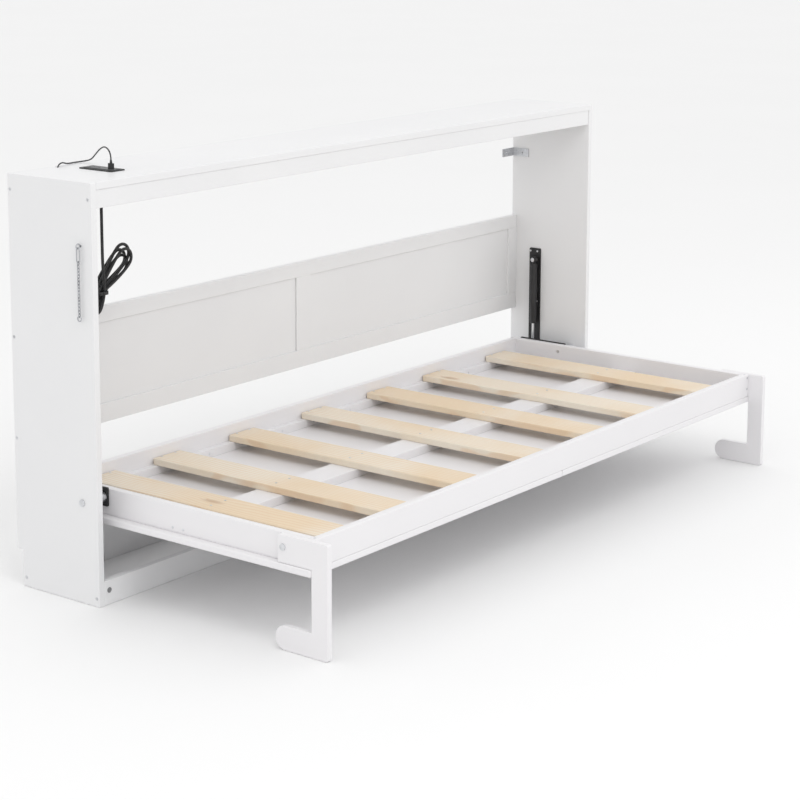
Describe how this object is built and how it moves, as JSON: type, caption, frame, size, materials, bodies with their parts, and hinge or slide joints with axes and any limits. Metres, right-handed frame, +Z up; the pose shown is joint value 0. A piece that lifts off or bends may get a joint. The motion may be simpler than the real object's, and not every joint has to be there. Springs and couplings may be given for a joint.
{
  "type": "murphy wall bed",
  "caption": "Low white wall-bed cabinet with a panelled back, from which a slatted single bed folds down sideways on two flat legs, helped by gas struts.",
  "frame": {"origin": "floor line of the wall, half way along the cabinet", "axes": "+X along the cabinet to its right end, +Y towards the wall, +Z up"},
  "size_m": [2.2305, 0.956, 1.1034],
  "materials": {
    "white_paint": "satin white paint on board",
    "pine": "planed pale pine",
    "black_steel": "black powder coat",
    "zinc_steel": "bright zinc plate",
    "galvanised_steel": "galvanised sheet",
    "black_plastic": "fine texture",
    "grey_plastic": "satin",
    "black_cord": "matt sheath",
    "thin_lead": "matt sheath"
  },
  "bodies": {
    "cabinet": {"back_bottom_rail": "white_paint", "back_end_stiles": "white_paint", "back_middle_stile": "white_paint", "back_panels": "white_paint", "back_top_rail": "white_paint", "cabinet_screws": "zinc_steel", "chain_screw_eye": "zinc_steel", "charging_lead": "thin_lead", "connector_caps": "grey_plastic", "hank_tie": "black_plastic", "kick_board": "white_paint", "lead_connector": "black_plastic", "lead_hank": "thin_lead", "lead_plug": "black_plastic", "lower_rear_rail": "white_paint", "mains_cord": "black_cord", "mains_gland": "black_cord", "mains_hank": "black_cord", "mains_plug": "black_plastic", "pivot_bolt_left": "zinc_steel", "pivot_bolt_right": "zinc_steel", "pivot_spacers": "zinc_steel", "power_bezel": "black_plastic", "power_body": "black_plastic", "power_face": "grey_plastic", "shelf_apron": "white_paint", "shelf_top": "white_paint", "side_panel_left": "white_paint", "side_panel_right": "white_paint", "strut_plate_left": "black_steel", "strut_plate_right": "black_steel", "top_rear_rail": "white_paint", "wall_brackets": "galvanised_steel"},
    "bed": {"bed_bolts": "zinc_steel", "bed_bottom_panel_left": "white_paint", "bed_bottom_panel_right": "white_paint", "bed_end_rail_left": "white_paint", "bed_end_rail_right": "white_paint", "bed_front_rail": "white_paint", "bed_lever_left": "black_steel", "bed_lever_right": "black_steel", "bed_rear_rail": "white_paint", "bed_screws": "zinc_steel", "centre_beam": "white_paint", "front_cleat": "white_paint", "leg_left": "white_paint", "leg_right": "white_paint", "rear_cleat": "white_paint", "slat_angles": "galvanised_steel", "slat_screws": "zinc_steel", "slats": "pine"},
    "strut_cylinder_left": {"strut_cylinder_left": "black_steel"},
    "strut_cylinder_right": {"strut_cylinder_right": "black_steel"},
    "strut_rod_left": {"strut_rod_left": "zinc_steel"},
    "strut_rod_right": {"strut_rod_right": "zinc_steel"},
    "chain": {"chain_hook": "zinc_steel", "chain_links": "zinc_steel", "chain_end_ring": "zinc_steel"}
  },
  "joints": [
    {"name": "bed_fold", "type": "hinge", "parent": "cabinet", "child": "bed", "pos_m": [0, -0.236, 0.256], "axis": [-1, 0, 0], "range_deg": [0, 90]},
    {"name": "strut_swing_left", "type": "hinge", "parent": "cabinet", "child": "strut_cylinder_left", "pos_m": [-1.068, -0.1, 0.532], "axis": [-1, 0, 0], "range_deg": [0, 19]},
    {"name": "strut_stroke_left", "type": "slide", "parent": "strut_cylinder_left", "child": "strut_rod_left", "axis": [0, 0, -1], "range_m": [0, 0.16]},
    {"name": "strut_swing_right", "type": "hinge", "parent": "cabinet", "child": "strut_cylinder_right", "pos_m": [1.068, -0.1, 0.532], "axis": [-1, 0, 0], "range_deg": [0, 19]},
    {"name": "strut_stroke_right", "type": "slide", "parent": "strut_cylinder_right", "child": "strut_rod_right", "axis": [0, 0, -1], "range_m": [0, 0.16]},
    {"name": "chain_swing", "type": "hinge", "parent": "cabinet", "child": "chain", "pos_m": [-1.114, -0.25, 0.887], "axis": [1, 0, 0], "range_deg": [-50, 50]}
  ],
  "couplings": [
    {"joint": "strut_swing_left", "follows": "bed_fold", "ratio": 0.20298},
    {"joint": "strut_stroke_left", "follows": "bed_fold", "m_per_rad": 0.1005},
    {"joint": "strut_swing_right", "follows": "bed_fold", "ratio": 0.20298},
    {"joint": "strut_stroke_right", "follows": "bed_fold", "m_per_rad": 0.1005}
  ]
}
